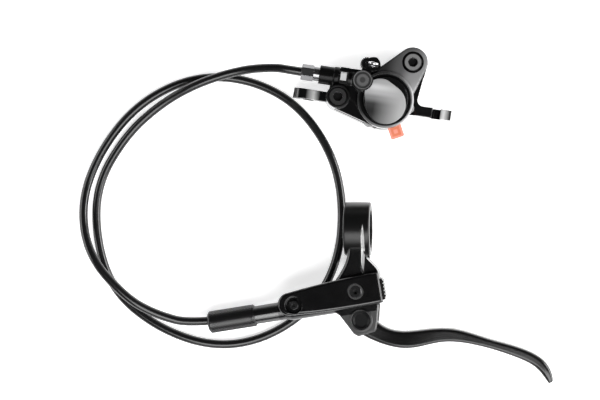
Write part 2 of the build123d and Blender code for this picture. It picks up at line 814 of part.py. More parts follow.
with BuildSketch() as lobe_outline:
    with Locations((dome_x, dome_y)):
        Circle(rim_radius - 3)
    with Locations((far_bolt_x, far_bolt_y)):
        Circle(8.6)
    with Locations((far_bolt_x - 14.8, far_bolt_y - 6.4)):
        Circle(3)
    make_hull()

with BuildSketch() as nipple_web:
    with Locations((dome_x, dome_y)):
        Circle(rim_radius - 2)
    with Locations((nipple_x, nipple_y)):
        Circle(6.2)
    with Locations((nipple_x - 10, hose_boss_y)):
        Circle(5.6)
    make_hull()

with BuildSketch() as inner_outline:
    add(near_web.sketch)
    add(lobe_outline.sketch)
    with BuildSketch(mode=Mode.PRIVATE) as flank:
        with Locations((far_bolt_x + 0.5, far_bolt_y + 0.5)):
            Circle(8.8)
        with Locations((18.6, 0.5)):
            Circle(6)
        make_hull()
    add(flank.sketch)
    with Locations((-18, 6)):
        RectangleRounded(16, 16, 3)


# The room for pads, rotor and piston that each half has, on its own side of the parting plane
def pad_room(side):
    with BuildPart() as room:
        with BuildSketch(pad_plane(caliper_mid)):
            with Locations((0, 8.5)):
                Rectangle(2 * pocket_half_width, 43)
        extrude(amount=side * pocket_half)
        with BuildSketch(pad_plane(caliper_mid)):
            with Locations((0, rotor_reach - rotor_radius)):
                Circle(rotor_radius)
        extrude(amount=side * rotor_slot / 2)
        with BuildSketch(pad_plane(caliper_mid)):
            Circle(piston_diameter / 2)
        extrude(amount=side * (pocket_half + piston_bore_depth))
        with BuildSketch(pad_plane(caliper_mid + side * (pocket_half + 3.4))):
            Circle(piston_diameter / 2 + seal_depth)
        extrude(amount=side * seal_width)
    return room


pin_x = dome_x - pin_place * sin(radians(pad_turn))
pin_y = dome_y + pin_place * cos(radians(pad_turn))

# Rim of the outer half with its groove, and the rounded lobe for the far bolt
with BuildPart() as caliper_rim:
    with BuildSketch(Plane.XY.offset(caliper_mid)):
        with Locations((dome_x, dome_y)):
            Circle(rim_radius)
    extrude(amount=rim_height - caliper_mid)
    fillet(caliper_rim.faces().sort_by(Axis.Z)[-1].edges(), radius=rim_width - 0.3)
    with BuildSketch(Plane.XY.offset(rim_height)):
        with Locations((dome_x, dome_y)):
            Circle(rim_radius - rim_width)
    extrude(amount=-groove_depth, mode=Mode.SUBTRACT)

with BuildPart() as caliper_lobe:
    with BuildSketch(Plane.XY.offset(caliper_mid)):
        add(lobe_outline.sketch)
    extrude(amount=lobe_height - caliper_mid)
    fillet(caliper_lobe.faces().sort_by(Axis.Z)[-1].edges(), radius=casting_edge)

# Round bead on the hose boss
with BuildPart() as boss_bead:
    with BuildSketch(across_boss(-25.2)):
        Circle(boss_radius + 0.5)
    extrude(amount=4)
    fillet(boss_bead.edges().filter_by(GeomType.CIRCLE), radius=1.2)

# Crowned dome over the piston, in the form of a drop, on a round shoulder
with BuildPart() as caliper_dome:
    groove_floor = rim_height - groove_depth
    with BuildSketch(Plane.XY.offset(groove_floor)):
        with Locations((dome_x + 0.3, dome_y - 2.7)):
            Circle(dome_radius)
        with Locations((dome_x - 3.7, dome_y + 2.5)):
            Circle(dome_radius - 2.6)
        make_hull()
    extrude(amount=dome_height - groove_floor)
    with Locations((dome_x - 0.7, dome_y - 1, dome_height - dome_crown_radius)):
        Sphere(dome_crown_radius, mode=Mode.INTERSECT)
    fillet(
        caliper_dome.edges().filter_by(lambda e: e.center().Z > dome_height - 3),
        radius=dome_edge,
    )
    with Locations((dome_x, dome_y, groove_floor)):
        Cone(
            shoulder_radius,
            shoulder_radius - 0.8,
            groove_depth + shoulder_rise,
            align=(Align.CENTER, Align.CENTER, Align.MIN),
        )

with BuildPart() as caliper_outer_half:
    with BuildSketch(Plane.XY.offset(caliper_mid)):
        add(near_web.sketch)
    extrude(amount=near_height - caliper_mid)
    with BuildSketch(Plane.XY.offset(caliper_mid)):
        add(nipple_web.sketch)
    extrude(amount=web_height - caliper_mid)
    with BuildSketch(Plane.XY.offset(caliper_mid)):
        with Locations((near_bolt_x, near_bolt_y)):
            Circle(6.6)
    extrude(amount=lobe_height - caliper_mid)
    add(caliper_lobe.part)
    with BuildSketch(Plane.XY.offset(caliper_mid)):
        with Locations((pin_x, pin_y)):
            Circle(pin_boss_radius)
        with Locations((pin_x - 1.5, pin_y - 6)):
            Circle(5)
        make_hull()
    extrude(amount=web_height - 1 - caliper_mid)
    with BuildSketch(Plane.XY.offset(caliper_mid)):
        with Locations((pin_x, pin_y)):
            Circle(pin_boss_radius)
    extrude(amount=pin_boss_height - caliper_mid)
    add(caliper_rim.part)
    with BuildSketch(Plane.XY.offset(caliper_mid)):
        with Locations((nipple_x, nipple_y)):
            Circle(nipple_seat)
    extrude(amount=rim_height - caliper_mid)
    add(caliper_dome.part)
    with BuildSketch(Plane.XY.offset(rim_height)):
        with Locations((nipple_x, nipple_y)):
            Circle(nipple_seat)
    extrude(amount=10, mode=Mode.SUBTRACT)
    with BuildSketch(across_boss(hose_boss_end)):
        Circle(boss_radius)
    extrude(amount=-hose_boss_end - 10)
    add(boss_bead.part)
    with BuildSketch(across_boss(-21.4)):
        RegularPolygon(boss_radius, 6, major_radius=False, rotation=9)
    extrude(amount=5)
    add(pad_room(1).part, mode=Mode.SUBTRACT)
    with Locations((near_bolt_x, near_bolt_y, lobe_height)):
        CounterBoreHole(body_bolt_size / 2 + slip, body_bolt_head / 2 + 0.5, bolt_sink, depth=40)
    with Locations((far_bolt_x, far_bolt_y, lobe_height)):
        CounterBoreHole(body_bolt_size / 2 + slip, body_bolt_head / 2 + 1.1, bolt_sink, depth=40)
    with BuildSketch(Plane.XY.offset(rim_height)):
        with Locations((nipple_x, nipple_y)):
            Circle(3.0)
    extrude(amount=-6.5, mode=Mode.SUBTRACT)
    with BuildSketch(Plane.XY.offset(caliper_mid)):
        with Locations((pin_x, pin_y)):
            Circle(pin_diameter / 2 + slip)
    extrude(amount=30, mode=Mode.SUBTRACT)
    with BuildSketch(boss_section):
        with BuildLine():
            boss_thread_end = hose_boss_end - 3.2 + fitting_thread_length + 0.2
            boss_olive_end = boss_thread_end + olive_length + insert_flange + 0.2
            Polyline(
                (hose_boss_end - 1, 0),
                (hose_boss_end - 1, fitting_thread / 2),
                (boss_thread_end, fitting_thread / 2),
                (boss_thread_end, hose_diameter / 2 + olive_wall + slip),
                (boss_olive_end, hose_diameter / 2 + olive_wall + slip),
                (boss_olive_end, 1.0),
                (-16, 1.0),
                (-16, 0),
                close=True,
            )
        make_face()
    revolve(axis=boss_axis, mode=Mode.SUBTRACT)

# Footprint of the inner half with its two arms, which run into the body in round corners
with BuildSketch() as arm_outline:
    add(inner_outline.sketch)
    with Locations((0, (ear_top + ear_bottom_face) / 2)):
        Rectangle(2 * ear_place, ear_top - ear_bottom_face)
    fillet(
        arm_outline.vertices().filter_by(
            lambda v: 18 < v.X < 30 and ear_bottom_face - 0.1 < v.Y < ear_top + 0.1
        ),
        radius=ear_root_radius,
    )

with BuildPart() as caliper_inner_half:
    with BuildSketch():
        add(inner_outline.sketch)
    extrude(amount=caliper_mid)
    with BuildSketch(Plane.XY.offset(arm_bottom)):
        add(arm_outline.sketch)
    extrude(amount=arm_top - arm_bottom)
    with BuildSketch(Plane(origin=(0, ear_top, ear_mid), x_dir=(1, 0, 0), z_dir=(0, 1, 0))):
        with Locations((-ear_place, 0), (ear_place, 0)):
            RectangleRounded(ear_width, caliper_mid - ear_lift, ear_end_radius)
    extrude(amount=-(ear_top - ear_bottom_face))
    add(pad_room(-1).part, mode=Mode.SUBTRACT)
    with BuildSketch(Plane(origin=(0, ear_top + 1, ear_mid), x_dir=(1, 0, 0), z_dir=(0, 1, 0))):
        with Locations((-ear_half_spacing, 0), (ear_half_spacing, 0)):
            SlotOverall(ear_slot_length, ear_slot_width, rotation=90)
    extrude(amount=-12, mode=Mode.SUBTRACT)
    with Locations((near_bolt_x, near_bolt_y, caliper_mid), (far_bolt_x, far_bolt_y, caliper_mid)):
        Hole(body_bolt_size / 2 + slip, depth=12.5)
    with Locations((pin_x, pin_y, caliper_mid)):
        Hole(pin_diameter / 2 + slip, depth=10.5)
    with BuildSketch(Plane.XY.offset(caliper_mid)):
        with Locations((passage_x, passage_y)):
            Circle(2.65)
    extrude(amount=-1.3, mode=Mode.SUBTRACT)

# Two bolts that join the halves
with BuildPart() as body_bolts:
    for bolt_x, bolt_y in ((near_bolt_x, near_bolt_y), (far_bolt_x, far_bolt_y)):
        with BuildSketch(Plane.XY.offset(lobe_height - bolt_sink)):
            with Locations((bolt_x, bolt_y)):
                Circle(body_bolt_head / 2)
                RegularPolygon(2.5, 6, major_radius=False, mode=Mode.SUBTRACT)
        extrude(amount=5.4)
        with BuildSketch(Plane.XY.offset(lobe_height - 2.6)):
            with Locations((bolt_x, bolt_y)):
                Circle(body_bolt_size / 2)
        extrude(amount=-(lobe_height - 2.6 - caliper_mid + 12))


# Pieces that lie on both sides of the rotor
def caliper_piston(side):
    with BuildPart() as piston:
        start = pad_plane(caliper_mid + side * (friction_face + friction_thickness + plate_thickness))
        with BuildSketch(start):
            Circle(piston_diameter / 2 - piston_slip)
        extrude(amount=side * piston_length)
        with BuildSketch(start):
            Circle(piston_diameter / 2 - piston_wall)
        extrude(amount=side * (piston_length - 2.6), mode=Mode.SUBTRACT)
    return piston


def piston_seal(side):
    with BuildPart() as seal:
        with BuildSketch(pad_plane(caliper_mid + side * (pocket_half + 3.4))):
            Circle(piston_diameter / 2 + seal_depth - slip)
            Circle(piston_diameter / 2 - piston_slip + 0.02, mode=Mode.SUBTRACT)
        extrude(amount=side * seal_width)
    return seal


def pad_friction(side):
    with BuildPart() as friction:
        with BuildSketch(pad_plane(caliper_mid + side * friction_face)):
            with Locations((0, -1.3)):
                RectangleRounded(25, 19.4, 4)
        extrude(amount=side * friction_thickness)
    return friction


def pad_plate(side):
    with BuildPart() as plate:
        with BuildSketch(pad_plane(caliper_mid + side * (friction_face + friction_thickness))):
            with Locations((0, -0.8)):
                RectangleRounded(2 * plate_half_width, 21.4, 3)
            with Locations((0, (pin_place + 4) / 2)):
                RectangleRounded(8.4, pin_place + 4, 2)
            with Locations((0, pin_place)):
                Circle(pin_diameter / 2 + 0.2, mode=Mode.SUBTRACT)
        extrude(amount=side * plate_thickness)
    return plate


outer_piston = caliper_piston(1)
inner_piston = caliper_piston(-1)
outer_piston_seal = piston_seal(1)
inner_piston_seal = piston_seal(-1)
outer_pad_friction = pad_friction(1)
inner_pad_friction = pad_friction(-1)
outer_pad_plate = pad_plate(1)
inner_pad_plate = pad_plate(-1)

# Transport spacer between the pads, with a tab that stands out below
with BuildPart() as pad_spacer:
    with BuildSketch(pad_plane(caliper_mid - spacer_thickness / 2)):
        with Locations((0, -3)):
            RectangleRounded(spacer_width, spacer_length, 3)
        with Locations((0.9, -spacer_length / 2 - 7.5)):
            RectangleRounded(spacer_tab_width, 12, 0.8)
    extrude(amount=spacer_thickness)

# Spring plate between the pads: a bridge over the rotor's rim and four legs that push the plates apart
with BuildPart() as pad_spring:
    with BuildSketch(pad_plane(caliper_mid - 2.9)):
        with Locations((0, 10.6)):
            Rectangle(2 * plate_half_width - 1.6, 0.5)
    extrude(amount=5.8)
    for side in (-1, 1):
        with BuildSketch(pad_plane(caliper_mid + side * 3.0)):
            for end in (-1, 1):
                with Locations((end * (plate_half_width - 1.3), 0.4)):
                    Rectangle(1.0, 20.9)
        extrude(amount=-side * 0.5)

# Pad pin with the eye of its wire standing over the boss
with BuildPart() as pad_pin:
    with BuildSketch(pad_plane(caliper_mid - 9)):
        with Locations((0, pin_place)):
            Circle(pin_diameter / 2)
    extrude(amount=pin_boss_height - caliper_mid + 9)
    eye_radius = 2.3
    with Locations(
        Plane(origin=(pin_x, pin_y, pin_boss_height + eye_radius + 0.5), z_dir=(0.1, 1, 0))
    ):
        Torus(eye_radius, pin_wire / 2)

# Bleed nipple with its rubber cap, on the outer half
with BuildPart() as bleed_nipple:
    with BuildSketch(Plane.XY.offset(rim_height - 6.4)):
        with Locations((nipple_x, nipple_y)):
            Circle(2.95)
    extrude(amount=6.4)
    with BuildSketch(Plane.XY.offset(rim_height)):
        with Locations((nipple_x, nipple_y)):
            RegularPolygon(nipple_hex / 2, 6, major_radius=False)
    extrude(amount=cap_lift - 0.05)

with BuildPart() as nipple_cap:
    with BuildSketch(Plane.XY.offset(rim_height + 0.2)):
        with Locations((nipple_x, nipple_y)):
            Circle(cap_radius)
            Circle(nipple_hex * 0.62, mode=Mode.SUBTRACT)
    extrude(amount=cap_lift)
    with BuildSketch(Plane.XY.offset(rim_height + cap_lift)):
        with Locations((nipple_x, nipple_y)):
            Circle(cap_radius)
    extrude(amount=1.3)
    with BuildSketch(Plane.XY.offset(rim_height + cap_lift + 1.3)):
        with Locations((nipple_x, nipple_y)):
            Circle(cap_radius - 0.6)
            Circle(cap_disc_radius, mode=Mode.SUBTRACT)
    extrude(amount=-0.7, mode=Mode.SUBTRACT)
    fillet(nipple_cap.edges().filter_by(lambda e: e.center().Z > rim_height + cap_lift + 1.29), radius=0.2)

# Sealing ring round the oil passage between the halves
with BuildPart() as passage_o_ring:
    with BuildSketch(Plane.XY.offset(caliper_mid - 1.2)):
        with Locations((passage_x, passage_y)):
            Circle(2.6)
            Circle(1.4, mode=Mode.SUBTRACT)
    extrude(amount=1.1)

# The hose lies on the table in one and a half turns and crosses itself twice. Its points are where it
# turns: straight runs joined by wide arcs.
hose_route = [
    (-128.9, -58.4, 9.5),
    (-146.4, -48.1, 12.8),
    (-167.8, -23.6, 12.6),
    (-173.2, 7.1, 3.6),
    (-162.1, 37.1, 2.5),
    (-140.3, 64.3, 2.5),
    (-109.4, 80.1, 2.5),
    (-77.7, 79.9, 2.5),
    (-48.1, 66.1, 2.5),
    (-27.3, 38.5, 2.5),
    (-19.5, 8.7, 2.5),
    (-21.9, -26.5, 2.5),
    (-36.9, -54.4, 2.5),
    (-65.0, -73.4, 2.5),
    (-95.5, -78.2, 2.5),
    (-127.7, -67.3, 2.5),
    (-154.3, -45.7, 2.5),
    (-164.4, -15.6, 2.5),
    (-164.1, 16.9, 2.5),
    (-147.1, 45.9, 2.5),
    (-126.5, 64.1, 5.5),
    (-104.4, 75.7, 12.8),
    (-78.9, 83.3, 15.5),
    (-59.4, 84.1, 21.5),
]


# Where a point of the lever's or the caliper's own frame lies in the room
def in_room(frame, point):
    return (frame * Location(point)).position


hose_start = in_room(lever_frame, (barrel_end + fitting_thread_length + olive_length, cylinder_y, cylinder_lift))
boot_mouth = in_room(lever_frame, (boot_left - 9, cylinder_y, cylinder_lift))
hose_end = in_room(
    caliper_frame,
    (hose_boss_end - 3.2 + fitting_thread_length + olive_length, hose_boss_y, hose_boss_z),
)
fitting_mouth = in_room(caliper_frame, (hose_boss_end - 16.5, hose_boss_y, hose_boss_z))
hose_points = [hose_start, boot_mouth]
hose_points += [Vector(*point) for point in hose_route]
hose_points += [fitting_mouth, hose_end]
runs = [b - a for a, b in zip(hose_points, hose_points[1:])]
hose_radii = []
for before, after in zip(runs, runs[1:]):
    half_turn = radians(before.get_angle(after)) / 2
    hose_radii.append(0.45 * min(before.length, after.length) / tan(half_turn))

with BuildPart() as brake_hose:
    with BuildLine():
        centre_line = FilletPolyline(hose_points, radius=hose_radii)
    with BuildSketch(Plane(origin=centre_line @ 0, z_dir=centre_line % 0)):
        Circle(hose_diameter / 2)
    sweep(path=centre_line)
    for end, inward in ((centre_line @ 0, centre_line % 0), (centre_line @ 1, -(centre_line % 1))):
        with BuildSketch(Plane(origin=end, z_dir=inward)):
            Circle(hose_bore / 2)
        extrude(amount=insert_spigot + 1, mode=Mode.SUBTRACT)
hose_length = centre_line.length
print("hose radii", [round(r) for r in hose_radii])
print("hose turns", [round(a.get_angle(b)) for a, b in zip(runs, runs[1:])])
print("hose runs", [round(r.length) for r in runs])
print("hose length", round(hose_length, 1))
print("volume", round(brake_hose.part.volume), "section x length", round(pi * hose_diameter**2 / 4 * hose_length))

# The pieces, grouped by the frame that they are drawn in
lever_pieces = {
    "lever_body": lever_body,
    "reservoir_lid": reservoir_lid,
    "reservoir_diaphragm": reservoir_diaphragm,
    "lid_screw": lid_screw,
    "bleed_screw": bleed_screw,
    "bleed_screw_seal": bleed_screw_seal,
    "clamp_bolt": clamp_bolt,
    "lever_blade": lever_blade,
    "reach_screw": reach_screw,
    "pivot_axle": pivot_axle,
    "pivot_clip": pivot_clip,
    "pivot_bushes": pivot_bushes,
    "slot_dust_cover": slot_dust_cover,
    "push_rod": push_rod,
    "master_piston": master_piston,
    "primary_cup": primary_cup,
    "secondary_seal": secondary_seal,
    "piston_spring": piston_spring,
    "piston_snap_ring": piston_snap_ring,
    "hose_boot": hose_boot,
    "lever_connecting_bolt": lever_connecting_bolt,
    "lever_olive": lever_olive,
    "lever_hose_insert": lever_hose_insert,
}
caliper_pieces = {
    "caliper_outer_half": caliper_outer_half,
    "caliper_inner_half": caliper_inner_half,
    "body_bolts": body_bolts,
    "outer_piston": outer_piston,
    "inner_piston": inner_piston,
    "outer_piston_seal": outer_piston_seal,
    "inner_piston_seal": inner_piston_seal,
    "outer_pad_friction": outer_pad_friction,
    "inner_pad_friction": inner_pad_friction,
    "outer_pad_plate": outer_pad_plate,
    "inner_pad_plate": inner_pad_plate,
    "pad_spacer": pad_spacer,
    "pad_spring": pad_spring,
    "pad_pin": pad_pin,
    "bleed_nipple": bleed_nipple,
    "nipple_cap": nipple_cap,
    "passage_o_ring": passage_o_ring,
    "caliper_connecting_bolt": caliper_connecting_bolt,
    "caliper_olive": caliper_olive,
    "caliper_hose_insert": caliper_hose_insert,
}

for name, piece in lever_pieces.items():
    piece.part.move(lever_frame)
for name, piece in caliper_pieces.items():
    piece.part.move(caliper_frame)
for name, piece in {**lever_pieces, **caliper_pieces, "brake_hose": brake_hose}.items():
    piece.part.label = name
    export_step(piece.part, f"parts/{name}.step")
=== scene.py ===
import bpy
from math import cos, pi, radians, sin
from mathutils import Matrix, Vector


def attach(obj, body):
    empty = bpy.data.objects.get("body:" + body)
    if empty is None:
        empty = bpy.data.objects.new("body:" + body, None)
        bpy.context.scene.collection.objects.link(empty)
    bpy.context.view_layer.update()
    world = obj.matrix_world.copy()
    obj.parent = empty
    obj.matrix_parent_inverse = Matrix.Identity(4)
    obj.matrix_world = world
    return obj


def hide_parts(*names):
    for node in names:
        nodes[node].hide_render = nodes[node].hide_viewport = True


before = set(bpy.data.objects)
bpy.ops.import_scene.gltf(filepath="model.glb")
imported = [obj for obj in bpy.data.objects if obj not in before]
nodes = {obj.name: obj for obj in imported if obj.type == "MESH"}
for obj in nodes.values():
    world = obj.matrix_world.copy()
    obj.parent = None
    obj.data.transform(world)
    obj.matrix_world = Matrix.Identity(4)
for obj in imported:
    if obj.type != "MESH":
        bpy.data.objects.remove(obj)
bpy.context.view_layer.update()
scene = bpy.context.scene
mm = 0.001

# The lever and the caliper each have a space of their own: X along the master cylinder or the ears, Z up
clampCentre, clampTilt, cylinderTurn = (-0.0115, -0.0086, 0.0163), -7.0, 9.5
caliperCentre, caliperTurn = (-0.0028, 0.0648, 0.0), -8.5
leverSpace = (Matrix.Translation(clampCentre)
              @ Matrix.Rotation(radians(clampTilt), 4, "Y")
              @ Matrix.Rotation(radians(cylinderTurn), 4, "Z"))
caliperSpace = Matrix.Translation(caliperCentre) @ Matrix.Rotation(radians(caliperTurn), 4, "Z")


# Shared surface effects, each a node group that puts out only what changes over the surface
def newGroup(name, numbers, outputs):
    group = bpy.data.node_groups.new(name, "ShaderNodeTree")
    for label, value, top in numbers:
        socket = group.interface.new_socket(label, in_out="INPUT", socket_type="NodeSocketFloat")
        socket.default_value = value
        socket.min_value = 0.0
        socket.max_value = top
    for label, kind in outputs:
        group.interface.new_socket(label, in_out="OUTPUT", socket_type=kind)
    return group, group.nodes.new("NodeGroupInput"), group.nodes.new("NodeGroupOutput")


def addMath(tree, operation, first, second=None, clamp=False):
    node = tree.nodes.new("ShaderNodeMath")
    node.operation = operation
    node.use_clamp = clamp
    for socket, value in zip(node.inputs, (first, second)):
        if value is None:
            continue
        if isinstance(value, (int, float)):
            socket.default_value = value
        else:
            tree.links.new(value, socket)
    return node.outputs[0]


def addNoise(tree, scale, detail, roughness=0.5):
    node = tree.nodes.new("ShaderNodeTexNoise")
    place = tree.nodes.new("ShaderNodeTexCoord")
    tree.links.new(place.outputs["Object"], node.inputs["Vector"])
    if isinstance(scale, (int, float)):
        node.inputs["Scale"].default_value = scale
    else:
        tree.links.new(scale, node.inputs["Scale"])
    node.inputs["Detail"].default_value = detail
    node.inputs["Roughness"].default_value = roughness
    return node.outputs["Fac"]


# Fine orange-peel grain of paint or moulding: a height for Bump and a roughness that drifts a little
def makeGrain():
    tree, inputs, outputs = newGroup(
        "surfaceGrain",
        [("Scale", 1800.0, 20000.0), ("Roughness", 0.35, 1.0), ("Drift", 0.08, 1.0)],
        [("Height", "NodeSocketFloat"), ("Roughness", "NodeSocketFloat")])
    grain = addNoise(tree, inputs.outputs["Scale"], 3.0, 0.6)
    slow = addNoise(tree, 90.0, 4.0, 0.6)
    swing = addMath(tree, "MULTIPLY", addMath(tree, "SUBTRACT", slow, 0.5), inputs.outputs["Drift"])
    swing = addMath(tree, "MULTIPLY", swing, 2.0)
    tree.links.new(grain, outputs.inputs["Height"])
    rough = addMath(tree, "ADD", inputs.outputs["Roughness"], swing, clamp=True)
    tree.links.new(rough, outputs.inputs["Roughness"])
    return tree


# Two tones of one colour, mottled, with paler dust specks
dustLook = dict(scale=5200.0, above=0.74, colour=(0.35, 0.34, 0.33))


def makeTones():
    tree, inputs, outputs = newGroup(
        "mottledTone",
        [("Scale", 120.0, 20000.0), ("Dust", 0.1, 1.0)],
        [("Tone", "NodeSocketFloat"), ("Dust", "NodeSocketFloat")])
    cloud = addNoise(tree, inputs.outputs["Scale"], 5.0, 0.62)
    speck = addNoise(tree, dustLook["scale"], 2.0, 0.5)
    dusty = addMath(tree, "GREATER_THAN", speck, dustLook["above"])
    amount = addMath(tree, "MULTIPLY", dusty, inputs.outputs["Dust"])
    tree.links.new(cloud, outputs.inputs["Tone"])
    tree.links.new(amount, outputs.inputs["Dust"])
    return tree


grainGroup = makeGrain()
toneGroup = makeTones()


# Coordinates of a point in the lever's or the caliper's own space, in millimetres
def placeIn(tree, space):
    place = tree.nodes.new("ShaderNodeTexCoord")
    turn = tree.nodes.new("ShaderNodeMapping")
    turn.vector_type = "TEXTURE"
    turn.inputs["Location"].default_value = space.to_translation()
    turn.inputs["Rotation"].default_value = space.to_euler()
    turn.inputs["Scale"].default_value = (mm, mm, mm)
    split = tree.nodes.new("ShaderNodeSeparateXYZ")
    tree.links.new(place.outputs["Object"], turn.inputs["Vector"])
    tree.links.new(turn.outputs["Vector"], split.inputs[0])
    return split.outputs["X"], split.outputs["Y"], split.outputs["Z"]


def addRamp(tree, value, start, end):
    node = tree.nodes.new("ShaderNodeMapRange")
    node.inputs["From Min"].default_value = start
    node.inputs["From Max"].default_value = end
    tree.links.new(value, node.inputs["Value"])
    return node.outputs["Result"]


def addBand(tree, value, low, high, soft=0.08):
    rise = addRamp(tree, value, low - soft, low + soft)
    return addMath(tree, "MULTIPLY", rise, addRamp(tree, value, high + soft, high - soft))


# How far a point lies from the middle of two coordinates
def addAway(tree, first, second):
    squares = addMath(tree, "ADD", addMath(tree, "POWER", first, 2.0), addMath(tree, "POWER", second, 2.0))
    return addMath(tree, "SQRT", squares)


# Coordinates from a centre, with the distance from it
def addCentred(tree, x, y, centre):
    fromX = addMath(tree, "SUBTRACT", x, centre[0])
    fromY = addMath(tree, "SUBTRACT", y, centre[1])
    return fromX, fromY, addAway(tree, fromX, fromY)


# Painted highlight and shade: a grey that changes round a centre, standing in for a satin face under
# studio light; stops are degrees from +X
def addTurn(tree, x, y, stops):
    angle = addMath(tree, "ARCTAN2", y, x)
    share = addMath(tree, "ADD", addMath(tree, "DIVIDE", angle, 2 * pi), 0.5)
    ramp = tree.nodes.new("ShaderNodeValToRGB")
    ramp.color_ramp.interpolation = "EASE"
    tree.links.new(share, ramp.inputs[0])
    for index, (degrees, grey) in enumerate(stops):
        place = degrees / 360 + 0.5
        if index < 2:
            stop = ramp.color_ramp.elements[index]
            stop.position = place
        else:
            stop = ramp.color_ramp.elements.new(place)
        stop.color = (grey, grey, grey * 1.01, 1)
    return ramp.outputs["Color"]


# A grey that changes along one line; the first two stops are its ends
def addGreys(tree, value, stops):
    low, high = stops[0][0], stops[1][0]
    ramp = tree.nodes.new("ShaderNodeValToRGB")
    ramp.color_ramp.interpolation = "EASE"
    tree.links.new(addRamp(tree, value, low, high), ramp.inputs[0])
    for index, (place, grey) in enumerate(stops):
        share = (place - low) / (high - low)
        if index < 2:
            stop = ramp.color_ramp.elements[index]
        else:
            stop = ramp.color_ramp.elements.new(share)
        stop.color = (grey, grey, grey * 1.01, 1)
    return ramp.outputs["Color"]


# Satin dome and rim of the caliper painted with reflection: greys graded by position and by angle stand in
# for studio light, and the bright flat of its hose boss is a painted highlight
domeLook = dict(
    centre=(6.2, 1.0), height=33.7, roughness=0.45, specular=0.12,
    rimHeight=28.9, rimStart=14.3, rimRoughness=0.3, rimSpecular=0.25,
    # face: painted reflection greys along the dome, darker towards -Y and brightest towards +Y
    face=[(-14, 0.03), (13, 0.20), (-8, 0.012), (-4, 0.03), (0, 0.18), (3, 0.36), (6, 0.52),
          (9, 0.32)],
    farSideHighlight=0.26, acrossFrom=-6.5, acrossTo=8.5,
    # rim: painted highlight and shade, greys by angle round the dome's centre
    rim=[(-180, 0.004), (180, 0.004), (-150, 0.02), (-125, 0.08), (-85, 0.13), (-30, 0.34),
         (15, 0.36), (48, 0.18), (72, 0.06), (100, 0.012)],
    flat=dict(x=(-20.9, -17.5), y=(8.4, 13.6), z=28.2, grey=0.5, roughness=0.25),
    boss=dict(x=(-34.0, -14.5), y=3.5, grey=0.003, roughness=0.2, specular=0.1))


def domeZones(tree):
    x, y, z = placeIn(tree, caliperSpace)
    fromX, fromY, away = addCentred(tree, x, y, domeLook["centre"])
    rim = addMath(tree, "MULTIPLY", addRamp(tree, z, domeLook["rimHeight"], domeLook["rimHeight"] + 0.6),
                  addRamp(tree, away, domeLook["rimStart"], domeLook["rimStart"] + 0.4))
    dome = addRamp(tree, z, domeLook["height"], domeLook["height"] + 0.1)
    # A pale square painted on the hose boss's flat as a painted highlight
    flat = domeLook["flat"]
    paintedHighlightMask = addMath(tree, "MULTIPLY", addBand(tree, x, *flat["x"]), addBand(tree, y, *flat["y"]))
    paintedHighlightMask = addMath(tree, "MULTIPLY", paintedHighlightMask, addRamp(tree, z, flat["z"] - 0.1, flat["z"] + 0.1))
    # The dome's grey is painted reflection, graded across and along it and paler at its far side
    paintedDomeReflection = layOver(tree, addRamp(tree, fromX, domeLook["acrossFrom"], domeLook["acrossTo"]),
                     addGreys(tree, fromY, domeLook["face"]), domeLook["farSideHighlight"])
    shade = domeLook["boss"]
    boss = addMath(tree, "MULTIPLY", addBand(tree, x, *shade["x"], 0.4),
                   addRamp(tree, y, shade["y"], shade["y"] + 1))
    return [(boss, shade["grey"], shade["roughness"], shade["specular"]),
            (rim, addTurn(tree, fromX, fromY, domeLook["rim"]),
             domeLook["rimRoughness"], domeLook["rimSpecular"]),
            (dome, paintedDomeReflection, domeLook["roughness"], domeLook["specular"]),
            (paintedHighlightMask, flat["grey"], flat["roughness"], 0.5)]


# Ears of the caliper with a painted highlight, lighter towards their ends, in millimetres along the ears
earHighlight = dict(left=(-39.0, -34.2, -30.8), right=(36.5, 41.5, 45.0), grey=0.5, lift=12.0)


def earHighlightZones(tree):
    x, y, z = placeIn(tree, caliperSpace)
    zones = []
    for start, middle, end in (earHighlight["left"], earHighlight["right"]):
        rise = addMath(tree, "MULTIPLY", addRamp(tree, x, start, middle), addRamp(tree, x, end, middle))
        mask = addMath(tree, "MULTIPLY", rise, addRamp(tree, z, earHighlight["lift"], earHighlight["lift"] + 0.5))
        zones.append((mask, earHighlight["grey"], 0.3, 0.5))
    return zones


# Heads of the body bolts with a painted highlight: a grey rim round a dark socket, paler on the far one
boltHighlight = dict(far=(18.5, 24.4), near=(-20.7, -1.0), socket=2.7, edge=4.6,
                farGrey=0.13, nearGrey=0.012, roughness=0.35)


def boltHighlightZones(tree):
    x, y, z = placeIn(tree, caliperSpace)
    zones = []
    for place in ("far", "near"):
        centre, grey = boltHighlight[place], boltHighlight[place + "Grey"]
        away = addCentred(tree, x, y, centre)[2]
        head = addBand(tree, away, boltHighlight["socket"], boltHighlight["edge"], 0.2)
        zones.append((head, grey, boltHighlight["roughness"], 0.5))
    return zones


# Rubber cap of the bleed nipple with a painted highlight: the thin bright line round its edge
capLook = dict(centre=(-8.4, 9.8), ring=(4.85, 5.0), ringHighlightGrey=0.2, inner=(1.6, 3.4), innerGrey=0.06)


def capZones(tree):
    x, y, z = placeIn(tree, caliperSpace)
    away = addCentred(tree, x, y, capLook["centre"])[2]
    return [(addBand(tree, away, *capLook["ring"], 0.15), capLook["ringHighlightGrey"], 0.35, 0.5),
            (addBand(tree, away, *capLook["inner"], 0.3), capLook["innerGrey"], 0.45, 0.5)]


# Machined groove over the clamp ring and along the neck, with a pale grey painted in it as a painted
# highlight
grooveLook = dict(
    along=3.7, halfWidth=1.35, sideLimit=(1.0, 0.85), reach=(-25.5, 3.5),
    outside=(13.6, 13.9), lift=(9.0, 9.6), grey=0.55, roughness=0.3,
    barrel=dict(end=-53.0, grey=0.004, roughness=0.2, specular=0.9),
    ring=dict(start=(-13.0, -11.0), grey=0.0035, roughness=0.3, specular=0.32),
    ear=dict(start=-25.0, edge=-47.0, grey=0.03, roughness=0.32))


